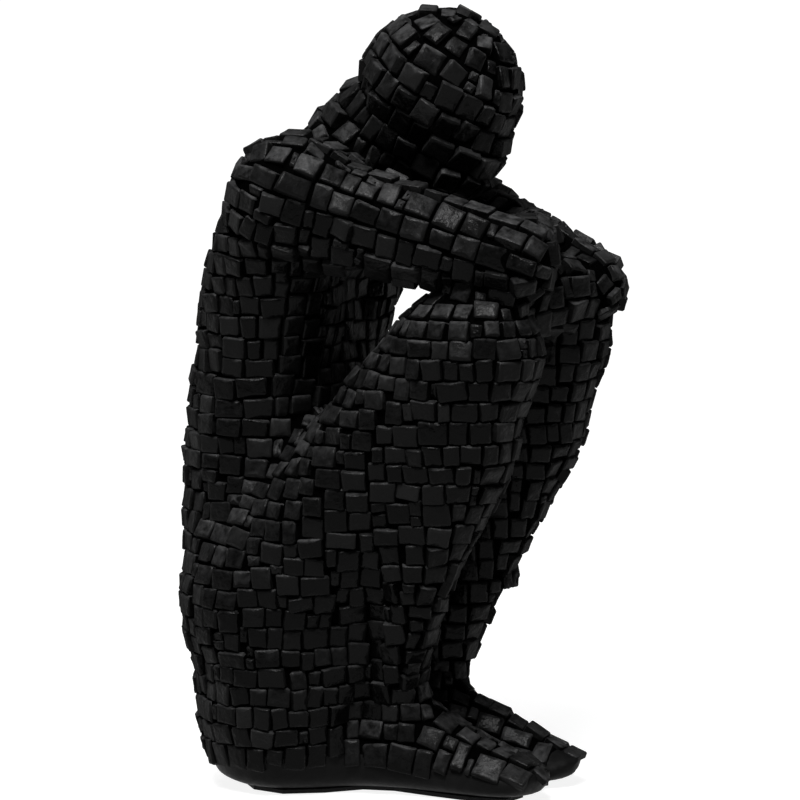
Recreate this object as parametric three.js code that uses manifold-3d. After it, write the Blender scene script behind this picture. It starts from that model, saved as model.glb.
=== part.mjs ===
// Seated mosaic figure, knees drawn up, arms folded over the knees and the head bowed over them.
// Cast cores are pinned together with dowels and stand on a low smooth plinth with a felt sheet below.
// Each core wears a skin: a mortar bed with raised tiles, laid in courses around the limb.
// Millimetres, +Z up. The figure faces -Y and its left hand side is +X.

import * as THREE from "three";
import Module from "manifold-3d";

const wasm = await Module();
wasm.setup();

// Mosaic skin
const TILE_THICKNESS = 2.4;
const BED_THICKNESS = 2.4;
const BODY_BED_THICKNESS = 4.5;
const JOINT_WIDTH = 1.6;
const TILE_LIFT = 0.45;
const TILE_TILT = 0.4;
const BODY_TILE = 22;
const LIMB_TILE = 17;
const FOREARM_TILE = 21;
const MIN_TILES_ROUND = 8;
const TURN_WEIGHT = 5;
const JOINT_JITTER = 0.16;
const PATTERN_SEED = 20;

// Clearances; the cutter room makes up for the flats of a cutter
const CUTTER_ROOM = 1;
const GLUE_GAP = 0.5;
const SEAM_GAP = 0.3;
const REST_GAP = 0.3;
const DOWEL_GAP = 0.3;

// Plinth, felt and dowels
const FELT_THICKNESS = 1.5;
const FELT_MARGIN = 3;
const PLINTH_TOP = 10;
const PLINTH_ROUND = 9;
const PLINTH_STEPS = 3;
const PLINTH_SIDES = 24;
const DOWEL_RADIUS = 3;
const DOWEL_DEPTH = 11;
const DOWEL_SIDES = 8;
const ANKLE_DOWEL_BACK = 5;
const ELBOW_DOWEL_RISE = 4;

// How far a region follows the fillet towards its neighbours, and how soft the fillets are
const BLEND = 13;
const REACH = 4;

// Landmarks are given as (to the figure's left, forward, up) for the left side
const PELVIS = { place: [26.5, 3, 30], radius: 31 };
const WAIST = { place: [20.5, -7.5, 112], radius: 28 };
const CHEST = { place: [25.5, 0, 188], radius: 25.5 };
const TAIL = { place: [0, 2, 34], radius: 27.5 };
const BREAST = { place: [0, 0, 195], radius: 22 };
const SHOULDER = { place: [47.5, 21, 231.5], radius: 20.5 };
const COLLAR = { place: [0, 19, 224], radius: 21 };
const NECK = { place: [0, 19, 235.5], radius: 20.5 };
const NAPE = { place: [0, 47, 258], radius: 22 };
const CRANIUM = { place: [0, 61.5, 269.5], radius: 29 };
const JAW = { place: [0, 70, 253], radius: 23.5 };
const RIGHT_ELBOW = { place: [34, 108, 207], radius: 16 };
const LEFT_ELBOW = { place: [34, 110, 191], radius: 15.5 };
const RIGHT_HAND = { place: [28, 86.5, 213], radius: 11 };
const LEFT_HAND = { place: [-28, 86.5, 189], radius: 11 };
const HIP = { place: [34, 1, 73], radius: 32.5 };
const THIGH = { place: [34.5, 82, 170], radius: 23 };
const KNEE = { place: [35, 96, 172], radius: 21.5 };
const CALF = { place: [33, 66, 92], radius: 17.5 };
const ANKLE = { place: [17, 44.5, 28], radius: 12 };
const HAM = { place: [32, 11.5, 48], radius: 28.5 };
const SHANK = { place: [21.5, 45.5, 50], radius: 13.5 };
const HOLLOW = { place: [28, 37, 76], radius: 13.5 };
const SEAT = { place: [31, 9.5, 27], radius: 26.5 };
const HEEL = { place: [16.5, 48.5, 16], radius: 13.5 };
const INSTEP = { place: [15.5, 61.5, 24.5], radius: 12.5 };
const TOES = { place: [17.5, 101, 4], radius: 10.5 };
const SOLE_BACK = { place: [0, 0, 10], radius: 20.5 };
const SOLE_FRONT = { place: [0, 88, 8], radius: 14.5 };

// Seams between castings
const HIP_SEAM_FORWARD = 2;
const YOKE_SEAM_UP = 216;
const NECK_SEAM_SHARE = 0.35;
const YOKE_END_SHARE = 0.05;

// A forearm starts thinner than its elbow by this much
const FOREARM_STEP = 1;

const LEFT = 1;
const RIGHT = -1;
const UP = new THREE.Vector3(0, 0, 1);
const FORWARD = new THREE.Vector3(0, -1, 0);
const LEFTWARD = new THREE.Vector3(1, 0, 0);

const FACE_LEVEL = 0;
const JOINT_LEVEL = -TILE_THICKNESS;
const OUTER_LEVEL = TILE_LIFT + TILE_TILT + SEAM_GAP + CUTTER_ROOM;
const OVERSHOOT = 2;
const MIN_CORE_DEPTH = 0.5;
const CUTTER_SIZE = 900;

function at(landmark, side = LEFT) {
  const [left, forward, up] = landmark.place;
  return new THREE.Vector3(side * left, -forward, up);
}

function bone(from, to, side = LEFT) {
  return { a: at(from, side), b: at(to, side), ra: from.radius, rb: to.radius };
}

const handOf = (side) => (side === RIGHT ? RIGHT_HAND : LEFT_HAND);
const elbowOf = (side) => (side === RIGHT ? RIGHT_ELBOW : LEFT_ELBOW);

// Bones of the figure: balls swept along a line with a changing radius
const soleBones = [bone(SOLE_BACK, SOLE_FRONT)];
const spineBones = [bone(SOLE_BACK, TAIL), bone(TAIL, BREAST)];
const trunkBones = (side) => [bone(PELVIS, WAIST, side), bone(WAIST, CHEST, side)];
const girdleBones = (side) => [bone(CHEST, SHOULDER, side)];
const collarBones = (side) => [bone(SHOULDER, COLLAR, side)];
const upperArmBones = (side) => [bone(SHOULDER, elbowOf(side), side)];
const thighBones = (side) => [bone(HIP, THIGH, side), bone(THIGH, KNEE, side)];
const seatBones = (side) => [bone(HAM, SHANK, side), bone(SEAT, HEEL, side), bone(HOLLOW, CALF, side)];
const shinBones = (side) => [bone(KNEE, CALF, side), bone(CALF, ANKLE, side), bone(ANKLE, HEEL, side)];
const footBones = (side) => [bone(INSTEP, TOES, side), bone(HEEL, TOES, side)];
const neckBones = [bone(NECK, NAPE)];
const headBones = [bone(NAPE, CRANIUM), bone(CRANIUM, JAW)];

function forearmBones(side) {
  const hand = handOf(side);
  const elbow = elbowOf(side);
  return [{ a: at(elbow, side), b: at(hand), ra: elbow.radius - FOREARM_STEP, rb: hand.radius }];
}

const bothSides = (bones) => [...bones(RIGHT), ...bones(LEFT)];

function boneDistance(piece, x, y, z) {
  const { a, b, ra, rb } = piece;
  const dx = b.x - a.x;
  const dy = b.y - a.y;
  const dz = b.z - a.z;
  const along = ((x - a.x) * dx + (y - a.y) * dy + (z - a.z) * dz) / (dx * dx + dy * dy + dz * dz);
  const t = Math.min(1, Math.max(0, along));
  return Math.hypot(x - a.x - t * dx, y - a.y - t * dy, z - a.z - t * dz) - ra - t * (rb - ra);
}

function smoothMin(p, q) {
  const overlap = Math.max(BLEND - Math.abs(p - q), 0);
  return Math.min(p, q) - (overlap * overlap) / (4 * BLEND);
}

// Signed distance of a region: its own bones, filleted into its neighbours' bones
function makeField(own, neighbours) {
  return (x, y, z) => {
    let mine = 1e6;
    for (const piece of own) {
      mine = smoothMin(mine, boneDistance(piece, x, y, z));
    }
    let body = mine;
    for (const piece of neighbours) {
      body = smoothMin(body, boneDistance(piece, x, y, z));
    }
    return Math.max(body, mine - REACH);
  };
}

// A section plane of a limb: its centre, its normal along the limb and two axes in the plane
function makeSection(centre, normal, reference) {
  const n = normal.clone().normalize();
  const u = reference.clone().addScaledVector(n, -reference.dot(n)).normalize();
  return { centre: centre.clone(), n, u, v: n.clone().cross(u) };
}

function exitAlong(field, start, direction, level) {
  const value = (s) => field(
    start.x + s * direction.x,
    start.y + s * direction.y,
    start.z + s * direction.z,
  ) - level;
  let inside = 0;
  let outside = 0;
  for (let depth = value(0); depth < 0; depth = value(outside)) {
    inside = outside;
    outside += Math.max(-0.8 * depth, 0.25);
  }
  for (let i = 0; i < 18 && outside > inside; i += 1) {
    const middle = (inside + outside) / 2;
    if (value(middle) < 0) {
      inside = middle;
    } else {
      outside = middle;
    }
  }
  return inside;
}

function surfacePoint(field, section, angle, level) {
  const direction = section.u.clone().multiplyScalar(Math.cos(angle));
  direction.addScaledVector(section.v, Math.sin(angle));
  const reach = exitAlong(field, section.centre, direction, level);
  return moved(section.centre, direction, reach);
}

// Shares out a section's outline: sharper bends count as longer, so tiles get narrower on them
const RING_SAMPLES = 72;
function measureRing(field, section) {
  const points = [];
  for (let i = 0; i < RING_SAMPLES; i += 1) {
    points.push(surfacePoint(field, section, (2 * Math.PI * i) / RING_SAMPLES, FACE_LEVEL));
  }
  const cost = [0];
  let length = 0;
  for (let i = 0; i < RING_SAMPLES; i += 1) {
    const here = points[i];
    const next = points[(i + 1) % RING_SAMPLES];
    const after = points[(i + 2) % RING_SAMPLES];
    const step = next.clone().sub(here);
    const turn = step.angleTo(after.clone().sub(next));
    length += step.length();
    cost.push(cost[i] + step.length() + TURN_WEIGHT * turn);
  }
  const total = cost[RING_SAMPLES];
  const shares = cost.map((value) => value / total);
  const angleOf = (share) => {
    const wanted = (share - Math.floor(share)) * total;
    let i = 0;
    while (cost[i + 1] < wanted) {
      i += 1;
    }
    const part = (wanted - cost[i]) / (cost[i + 1] - cost[i]);
    return (2 * Math.PI * (i + part)) / RING_SAMPLES;
  };
  return { section, points, shares, length, total, angleOf };
}

// Growing triangle mesh that becomes a solid
class Shell {
  constructor() {
    this.points = [];
    this.faces = [];
  }

  point(p) {
    this.points.push(p.x, p.y, p.z);
    return this.points.length / 3 - 1;
  }

  face(a, b, c) {
    this.faces.push(a, b, c);
  }

  fan(centre, loop) {
    for (let i = 0; i < loop.length; i += 1) {
      this.face(centre, loop[i], loop[(i + 1) % loop.length]);
    }
  }

  solid() {
    return new wasm.Manifold(new wasm.Mesh({
      numProp: 3,
      vertProperties: new Float32Array(this.points),
      triVerts: new Uint32Array(this.faces),
    }));
  }
}

function solidOf(geometry) {
  const shell = new Shell();
  const seen = new Map();
  const position = geometry.getAttribute("position");
  const order = geometry.index ? geometry.index.array : [...position.array.keys()].slice(0, position.count);
  const number = (i) => {
    const p = new THREE.Vector3().fromBufferAttribute(position, i);
    const key = [p.x, p.y, p.z].map((value) => Math.round(value * 1e4)).join();
    if (!seen.has(key)) {
      seen.set(key, shell.point(p));
    }
    return seen.get(key);
  };
  for (let i = 0; i < order.length; i += 3) {
    const corners = [number(order[i]), number(order[i + 1]), number(order[i + 2])];
    if (new Set(corners).size === 3) {
      shell.face(...corners);
    }
  }
  return shell.solid();
}

// Section between the last one and the tip of a free end
const CAP_SHARE = 0.6;
function capSection(region, index, sign, level) {
  const { section } = region.rings[index];
  const outward = section.n.clone().multiplyScalar(sign);
  const rise = CAP_SHARE * exitAlong(region.field, section.centre, outward, level);
  return { ...section, centre: section.centre.clone().addScaledVector(outward, rise) };
}

const backLevel = (region) => JOINT_LEVEL - region.bed;

// Rings of the inner lofts: every other one, without those too near a tip
function innerRings(region) {
  const { field, rings, stride } = region;
  const least = backLevel(region) - MIN_CORE_DEPTH;
  const deep = rings.filter(({ section }) => field(...section.centre.toArray()) < least);
  return deep.filter((ring, i) => i % stride === 0 || i === deep.length - 1);
}

// Rings of a cutter: all of them, with one more near each tip
function cutterRings(region) {
  const { rings, openStart, openEnd } = region;
  const last = rings.length - 1;
  const cap = (index, sign) => ({ ...rings[index], section: capSection(region, index, sign, OUTER_LEVEL) });
  return [...(openStart ? [] : [cap(0, -1)]), ...rings, ...(openEnd ? [] : [cap(last, 1)])];
}

// Smooth loft through rings at a level, shrunk inwards and stretched past its open ends;
// a free end closes in a tip on the surface
function smoothSolid(region, rings, sides, level, shrink, stretch) {
  const { field, openStart, openEnd } = region;
  const stations = rings.map((ring) => ({ ring, shift: new THREE.Vector3() }));
  if (stretch > 0 && openStart) {
    stations.unshift({ ring: rings[0], shift: rings[0].section.n.clone().multiplyScalar(-stretch) });
  }
  if (stretch > 0 && openEnd) {
    const ring = rings[rings.length - 1];
    stations.push({ ring, shift: ring.section.n.clone().multiplyScalar(stretch) });
  }
  const last = stations.length - 1;
  const shell = new Shell();
  const loops = stations.map(({ ring, shift }) => {
    const loop = [];
    for (let k = 0; k < sides; k += 1) {
      const face = surfacePoint(field, ring.section, ring.angleOf(k / sides), level);
      const inward = shrink / face.distanceTo(ring.section.centre);
      loop.push(shell.point(face.lerp(ring.section.centre, inward).add(shift)));
    }
    return loop;
  });
  for (let i = 0; i < last; i += 1) {
    for (let k = 0; k < sides; k += 1) {
      const [a, b] = [loops[i][k], loops[i][(k + 1) % sides]];
      const [c, d] = [loops[i + 1][(k + 1) % sides], loops[i + 1][k]];
      shell.face(a, b, c);
      shell.face(a, c, d);
    }
  }
  const tip = (index, sign, open) => {
    const { section } = stations[index].ring;
    const centre = section.centre.clone().add(stations[index].shift);
    const outward = section.n.clone().multiplyScalar(sign);
    const rise = open ? 0 : exitAlong(field, section.centre, outward, level) - shrink;
    return shell.point(centre.addScaledVector(outward, rise));
  };
  shell.fan(tip(0, -1, openStart), [...loops[0]].reverse());
  shell.fan(tip(last, 1, openEnd), loops[last]);
  return shell.solid();
}

function makeRandom(seed) {
  let state = seed;
  return () => {
    state = (Math.imul(state, 1664525) + 1013904223) >>> 0;
    return state / 4294967296;
  };
}

const wrap = (share) => share - Math.floor(share);

// Share of a ring's outline that lies nearest to a point
function nearestShare(ring, point) {
  const foot = new THREE.Vector3();
  const side = new THREE.Line3();
  let least = Infinity;
  let best = 0;
  for (let i = 0; i < RING_SAMPLES; i += 1) {
    side.set(ring.points[i], ring.points[(i + 1) % RING_SAMPLES]);
    const part = side.closestPointToPointParameter(point, true);
    const distance = side.at(part, foot).distanceTo(point);
    if (distance < least) {
      least = distance;
      best = ring.shares[i] + part * (ring.shares[i + 1] - ring.shares[i]);
    }
  }
  return wrap(best);
}

// Upright joints of each course: where each one starts on the lower ring and ends on the upper ring
function layJoints(region, random) {
  const courses = [];
  for (let i = 0; i + 1 < region.rings.length; i += 1) {
    const [low, high] = [region.rings[i], region.rings[i + 1]];
    const count = Math.max(MIN_TILES_ROUND, Math.round((low.total + high.total) / 2 / region.tile));
    const offset = (i % 2) / 2 + 0.3 * random();
    const starts = new Set();
    for (let k = 0; k < count; k += 1) {
      const share = wrap((k + offset + JOINT_JITTER * (2 * random() - 1)) / count);
      const below = i > 0 ? courses[i - 1] : [];
      const near = below.find((joint) => Math.abs(wrap(share - joint.high + 0.5) - 0.5) < 0.22 / count);
      starts.add(near ? near.high : share);
    }
    const joints = [...starts].sort((p, q) => p - q).map((share) => ({
      low: share,
      high: nearestShare(high, surfacePoint(region.field, low.section, low.angleOf(share), FACE_LEVEL)),
    }));
    const steps = joints.map((joint, k) => wrap(joints[(k + 1) % joints.length].high - joint.high));
    const even = steps.every((step) => step > 0.25 / count && step < 3 / count);
    courses.push(even ? joints : joints.map(({ low: share }) => ({ low: share, high: share })));
  }
  return courses;
}

// Outer skin with its tiles: flat faces that stand above V shaped joints
function tiledSolid(region, random) {
  const { field, rings, openStart, openEnd } = region;
  const courses = layJoints(region, random);
  const shell = new Shell();
  const spot = (ring, share, level) => surfacePoint(field, ring.section, ring.angleOf(share), level);

  const loops = rings.map((ring, i) => {
    const ends = (courses[i - 1] ?? []).map((joint) => joint.high);
    const starts = (courses[i] ?? []).map((joint) => joint.low);
    const sorted = [...new Set([...ends, ...starts])].sort((p, q) => p - q);
    return sorted.map((share) => ({ share, index: shell.point(spot(ring, share, JOINT_LEVEL)) }));
  });
  const between = (loop, from, to) => {
    const span = to > from ? to - from : to - from + 1;
    return loop
      .map(({ share, index }) => ({ index, step: wrap(share - from + 1e-9) }))
      .filter(({ step }) => step < span + 1e-6)
      .sort((p, q) => p.step - q.step)
      .map(({ index }) => index);
  };

  // Both ends of a tile's edge along a ring, half a joint in from the joints' middles
  const edge = (ring, from, to) => {
    const span = to > from ? to - from : to - from + 1;
    const inset = Math.min(span / 3, JOINT_WIDTH / 2 / ring.length);
    return [spot(ring, from + inset, FACE_LEVEL), spot(ring, from + span - inset, FACE_LEVEL)];
  };

  courses.forEach((joints, i) => {
    const [low, high] = [rings[i], rings[i + 1]];
    joints.forEach((from, k) => {
      const to = joints[(k + 1) % joints.length];
      const lower = between(loops[i], from.low, to.low);
      const upper = between(loops[i + 1], from.high, to.high);
      const corners = [
        ...edge(low, from.low, to.low),
        ...edge(high, from.high, to.high).reverse(),
      ];
      const inset = (p, q) => Math.min(0.3, JOINT_WIDTH / 2 / Math.max(1, p.distanceTo(q)));
      const [lowLeft, lowRight, highRight, highLeft] = [
        corners[0].clone().lerp(corners[3], inset(corners[0], corners[3])),
        corners[1].clone().lerp(corners[2], inset(corners[1], corners[2])),
        corners[2].clone().lerp(corners[1], inset(corners[1], corners[2])),
        corners[3].clone().lerp(corners[0], inset(corners[0], corners[3])),
      ];
      const face = [lowLeft, lowRight, highRight, highLeft];
      const middle = face.reduce((sum, p) => sum.add(p), new THREE.Vector3()).multiplyScalar(0.25);
      const across = highRight.clone().sub(lowLeft);
      const normal = across.cross(highLeft.clone().sub(lowRight)).normalize();
      const lift = TILE_LIFT * (2 * random() - 1);
      const tiltAcross = TILE_TILT * (random() - 0.5);
      const tiltUp = TILE_TILT * (random() - 0.5);
      const signs = [[-1, -1], [1, -1], [1, 1], [-1, 1]];
      const [a, b, c, d] = face.map((p, corner) => {
        const flat = p.addScaledVector(normal, -p.clone().sub(middle).dot(normal));
        const height = lift + signs[corner][0] * tiltAcross + signs[corner][1] * tiltUp;
        return shell.point(flat.addScaledVector(normal, height));
      });
      shell.face(a, b, c);
      shell.face(a, c, d);
      for (let m = 0; m + 1 < lower.length; m += 1) {
        shell.face(lower[m], lower[m + 1], a);
      }
      const lowerEnd = lower[lower.length - 1];
      const upperEnd = upper[upper.length - 1];
      shell.face(lowerEnd, b, a);
      shell.face(d, c, upperEnd);
      for (let m = upper.length - 1; m > 0; m -= 1) {
        shell.face(d, upper[m], upper[m - 1]);
      }
      shell.face(lower[0], a, d);
      shell.face(lower[0], d, upper[0]);
      shell.face(b, lowerEnd, upperEnd);
      shell.face(b, upperEnd, c);
    });
  });

  const close = (index, sign, open) => {
    const { section } = rings[index];
    const loop = loops[index].map((joint) => joint.index);
    if (sign < 0) {
      loop.reverse();
    }
    if (open) {
      shell.fan(shell.point(section.centre), loop);
      return;
    }
    const cap = capSection(region, index, sign, FACE_LEVEL);
    const { centre } = cap;
    const order = sign < 0 ? [...loops[index]].reverse() : loops[index];
    const rim = order.map(({ share }) => {
      const lip = surfacePoint(field, cap, rings[index].angleOf(share), FACE_LEVEL);
      return shell.point(lip.lerp(centre, JOINT_WIDTH / 2 / lip.distanceTo(centre)));
    });
    loop.forEach((low, k) => {
      const next = (k + 1) % loop.length;
      shell.face(low, loop[next], rim[next]);
      shell.face(low, rim[next], rim[k]);
    });
    shell.fan(shell.point(centre), rim);
  };
  close(0, -1, openStart);
  close(rings.length - 1, 1, openEnd);
  return shell.solid();
}

// Sections of a limb from one seam plane to the next; a free end stops short of its tip
function limbSections(stops, tile, reference) {
  const path = stops.slice(1).map((stop, i) => stop.centre.distanceTo(stops[i].centre));
  const length = path.reduce((sum, part) => sum + part, 0);
  const count = Math.max(2, Math.round(length / tile));
  const sections = [];
  for (let i = 0; i <= count; i += 1) {
    let along = (length * i) / count;
    let leg = 0;
    while (leg < path.length - 1 && along > path[leg]) {
      along -= path[leg];
      leg += 1;
    }
    const t = Math.min(1, along / path[leg]);
    const centre = stops[leg].centre.clone().lerp(stops[leg + 1].centre, t);
    const normal = stops[leg].n.clone().lerp(stops[leg + 1].n, t);
    sections.push(makeSection(centre, normal, reference));
  }
  return sections;
}

function makeRegion(options) {
  const field = makeField(options.own, options.neighbours);
  const sections = limbSections(options.stops, options.tile, options.reference);
  const rings = sections.map((section) => measureRing(field, section));
  return { bed: BED_THICKNESS, openStart: true, openEnd: true, ...options, field, rings };
}

const direction = (from, to) => to.clone().sub(from).normalize();
const stop = (centre, n) => ({ centre: centre.clone(), n: n.clone().normalize() });
const moved = (p, n, distance) => p.clone().addScaledVector(n, distance);

// Everything on the side of a plane that its normal points to, as a big box
function halfSpace(point, normal) {
  const box = new THREE.BoxGeometry(CUTTER_SIZE, CUTTER_SIZE, CUTTER_SIZE);
  box.translate(0, 0, CUTTER_SIZE / 2);
  box.applyQuaternion(new THREE.Quaternion().setFromUnitVectors(UP, normal.clone().normalize()));
  box.translate(point.x, point.y, point.z);
  return solidOf(box);
}

// Seam planes
const neckAxis = direction(at(NECK), at(NAPE));
const neckSeam = at(NECK).lerp(at(NAPE), NECK_SEAM_SHARE);
const yokeSeam = new THREE.Vector3(0, 0, YOKE_SEAM_UP);
const hipSeam = FORWARD.clone().multiplyScalar(HIP_SEAM_FORWARD);
const armAxis = (side) => direction(at(SHOULDER, side), at(elbowOf(side), side));
const forearmAxis = (side) => direction(at(elbowOf(side), side), at(handOf(side)));
const ankleNormal = FORWARD.clone().multiplyScalar(0.8).addScaledVector(UP, -0.6);
const ankleSeam = (side) => at(INSTEP, side);
const plinthTop = UP.clone().multiplyScalar(PLINTH_TOP);
const seamed = (point, normal, sign) => moved(point, normal, (sign * SEAM_GAP) / 2);

function upperArmRegion(side) {
  return makeRegion({
    own: upperArmBones(side),
    neighbours: girdleBones(side),
    stops: [
      stop(moved(at(SHOULDER, side), armAxis(side), -0.7 * SHOULDER.radius), armAxis(side)),
      stop(moved(at(elbowOf(side), side), armAxis(side), 0.7 * elbowOf(side).radius), armAxis(side)),
    ],
    tile: LIMB_TILE,
    reference: UP,
    sides: 8,
    cutterSides: 10,
    stride: 2,
    openStart: false,
    openEnd: false,
  });
}

function forearmRegion(side) {
  const hand = handOf(side);
  const axis = forearmAxis(side);
  return makeRegion({
    own: forearmBones(side),
    neighbours: [],
    stops: [
      stop(at(elbowOf(side), side), axis),
      stop(moved(at(hand), axis, 0.6 * hand.radius), axis),
    ],
    tile: FOREARM_TILE,
    reference: UP,
    sides: 6,
    cutterSides: 8,
    stride: 2,
    openEnd: false,
  });
}

function legRegion(side) {
  const low = at(SEAT, side).lerp(at(HEEL, side), 0.4).setZ(PLINTH_TOP + REST_GAP);
  const seat = at(HAM, side).lerp(at(SHANK, side), 0.5);
  const calf = at(HIP, side).lerp(at(THIGH, side), 0.25).lerp(at(CALF, side), 0.5);
  const high = at(HIP, side).lerp(at(THIGH, side), 0.7).lerp(at(KNEE, side).lerp(at(CALF, side), 0.4), 0.45);
  const knee = moved(at(KNEE, side).lerp(at(THIGH, side), 0.3), UP, 0.9 * KNEE.radius);
  return makeRegion({
    own: [...thighBones(side), ...seatBones(side), ...shinBones(side)],
    neighbours: [...spineBones, ...trunkBones(side), ...footBones(side)],
    stops: [low, seat, calf, high, knee].map((centre) => stop(centre, UP)),
    tile: BODY_TILE,
    reference: FORWARD,
    bed: BODY_BED_THICKNESS,
    sides: 12,
    cutterSides: 14,
    stride: 1,
    openEnd: false,
  });
}

function footRegion(side) {
  const toes = at(TOES, side).setZ(Math.max(TOES.place[2], PLINTH_TOP));
  return makeRegion({
    own: footBones(side),
    neighbours: shinBones(side),
    stops: [
      stop(seamed(ankleSeam(side), ankleNormal, 1), ankleNormal),
      stop(ankleSeam(side).lerp(toes, 0.5), FORWARD),
      stop(moved(toes, FORWARD, 0.35 * TOES.radius), FORWARD),
    ],
    tile: LIMB_TILE,
    reference: UP.clone().negate(),
    sides: 8,
    stride: 2,
    openEnd: false,
  });
}

const trunk = makeRegion({
  own: [...spineBones, ...[trunkBones, girdleBones, collarBones].flatMap(bothSides)],
  neighbours: [thighBones, seatBones, upperArmBones].flatMap(bothSides),
  stops: [
    stop(new THREE.Vector3(0, 0, PLINTH_TOP + REST_GAP), UP),
    stop(at(WAIST).setX(0), UP),
    stop(at(CHEST).setX(0), UP),
    stop(moved(yokeSeam, UP, -SEAM_GAP / 2).setY(at(CHEST).lerp(at(COLLAR), 0.6).y), UP),
  ],
  tile: BODY_TILE,
  reference: FORWARD,
  bed: BODY_BED_THICKNESS,
  sides: 14,
  stride: 2,
});

const yoke = makeRegion({
  own: [...bothSides(girdleBones), ...bothSides(collarBones)],
  neighbours: [...neckBones, ...bothSides(trunkBones), ...bothSides(upperArmBones)],
  stops: [RIGHT, LEFT].map((side) => {
    const end = moved(at(SHOULDER, side), LEFTWARD, YOKE_END_SHARE * side * SHOULDER.radius);
    return stop(end, LEFTWARD);
  }),
  tile: BODY_TILE,
  reference: UP.clone().negate(),
  sides: 8,
  stride: 1,
});

const head = makeRegion({
  own: [...neckBones, ...headBones],
  neighbours: bothSides(girdleBones),
  stops: [
    stop(seamed(neckSeam, neckAxis, 1), neckAxis),
    stop(at(NAPE).lerp(at(CRANIUM), 0.7), UP),
    stop(moved(at(CRANIUM), UP, 0.9 * CRANIUM.radius), UP),
  ],
  tile: LIMB_TILE,
  reference: FORWARD,
  sides: 10,
  cutterSides: 12,
  stride: 1,
  openEnd: false,
});

const upperArms = { [RIGHT]: upperArmRegion(RIGHT), [LEFT]: upperArmRegion(LEFT) };
const forearms = { [RIGHT]: forearmRegion(RIGHT), [LEFT]: forearmRegion(LEFT) };
const legs = { [RIGHT]: legRegion(RIGHT), [LEFT]: legRegion(LEFT) };
const feet = { [RIGHT]: footRegion(RIGHT), [LEFT]: footRegion(LEFT) };

// Cutters: what the neighbours of a casting fill, with room for their tiles
function envelope(region) {
  return smoothSolid(region, cutterRings(region), region.cutterSides, OUTER_LEVEL, 0, SEAM_GAP);
}

const legEnvelope = (side) => envelope(legs[side]).intersect(halfSpace(hipSeam, FORWARD));
const aboveTop = halfSpace(moved(plinthTop, UP, REST_GAP), UP);

function biggestBody(solid) {
  const bodies = solid.decompose();
  return bodies.reduce((best, body) => (body.volume() > best.volume() ? body : best));
}

function cutAway(solid, keeps, cuts) {
  const kept = keeps.reduce((rest, keep) => rest.intersect(keep), solid);
  const rest = cuts.reduce((left, cut) => left.subtract(cut), kept);
  return biggestBody(rest);
}

const group = new THREE.Group();
const CORE_LOOK = { color: 0x24221f, roughness: 0.85, metalness: 0 };
const TILE_LOOK = { color: 0x17171a, roughness: 0.42, metalness: 0 };
const STEEL_LOOK = { color: 0x9a9ca0, roughness: 0.35, metalness: 0.9 };
const PLINTH_LOOK = { color: 0x1c1b1a, roughness: 0.55, metalness: 0 };
const FELT_LOOK = { color: 0x1b1c1e, roughness: 1, metalness: 0 };

function addNode(name, solid, look) {
  const mesh = solid.getMesh();
  const geometry = new THREE.BufferGeometry();
  const points = new Float32Array(mesh.numVert * 3);
  for (let i = 0; i < mesh.numVert; i += 1) {
    points.set(mesh.vertProperties.slice(i * mesh.numProp, i * mesh.numProp + 3), 3 * i);
  }
  geometry.setAttribute("position", new THREE.BufferAttribute(points, 3));
  geometry.setIndex(new THREE.BufferAttribute(new Uint32Array(mesh.triVerts), 1));
  geometry.computeVertexNormals();
  const node = new THREE.Mesh(geometry, new THREE.MeshStandardMaterial(look));
  node.name = name;
  group.add(node);
}

// Dowels sit half in one core and half in the next
const dowels = [];
function addDowel(name, place, axis) {
  dowels.push({ name: `${name}_dowel`, place: place.clone(), axis: axis.clone().normalize() });
}

function rod({ place, axis }, radius, depth) {
  const cylinder = new THREE.CylinderGeometry(radius, radius, 2 * depth, DOWEL_SIDES);
  cylinder.applyQuaternion(new THREE.Quaternion().setFromUnitVectors(new THREE.Vector3(0, 1, 0), axis));
  cylinder.translate(place.x, place.y, place.z);
  return solidOf(cylinder);
}

const sideName = { [RIGHT]: "right", [LEFT]: "left" };
addDowel("neck", neckSeam, neckAxis);
for (const side of [RIGHT, LEFT]) {
  const name = sideName[side];
  const shoulder = moved(at(SHOULDER, side), LEFTWARD, -side * (SHOULDER.radius - BED_THICKNESS));
  addDowel(`${name}_shoulder`, shoulder, LEFTWARD);
  const elbow = elbowOf(side);
  const offKnee = direction(at(KNEE, side), at(elbow, side));
  const joint = moved(at(elbow, side), forearmAxis(side), elbow.radius - BED_THICKNESS);
  addDowel(`${name}_elbow`, moved(joint, offKnee, ELBOW_DOWEL_RISE), forearmAxis(side));
  addDowel(`${name}_hip`, at(HIP, side).setY(hipSeam.y), FORWARD);
  addDowel(`${name}_ankle`, moved(ankleSeam(side), ankleNormal, -ANKLE_DOWEL_BACK), ankleNormal);
  addDowel(`${name}_chest`, at(CHEST, side).setZ(YOKE_SEAM_UP), UP);
}
const sockets = dowels.map((dowel) => rod(dowel, DOWEL_RADIUS + DOWEL_GAP, DOWEL_DEPTH + DOWEL_GAP));

function addCasting(name, region, keeps, cuts) {
  const random = makeRandom(PATTERN_SEED + 97 * group.children.length);
  const tiled = tiledSolid(region, random);
  const rings = innerRings(region);
  const inner = smoothSolid(region, rings, region.sides, backLevel(region), 0, OVERSHOOT);
  const skin = tiled.subtract(inner);
  addNode(`${name}_mosaic`, cutAway(skin, keeps, [...cuts, ...sockets]), TILE_LOOK);
  const core = smoothSolid(region, rings, region.sides, backLevel(region), GLUE_GAP, 0);
  addNode(`${name}_core`, cutAway(core, keeps, [...cuts, ...sockets]), CORE_LOOK);
}

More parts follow.
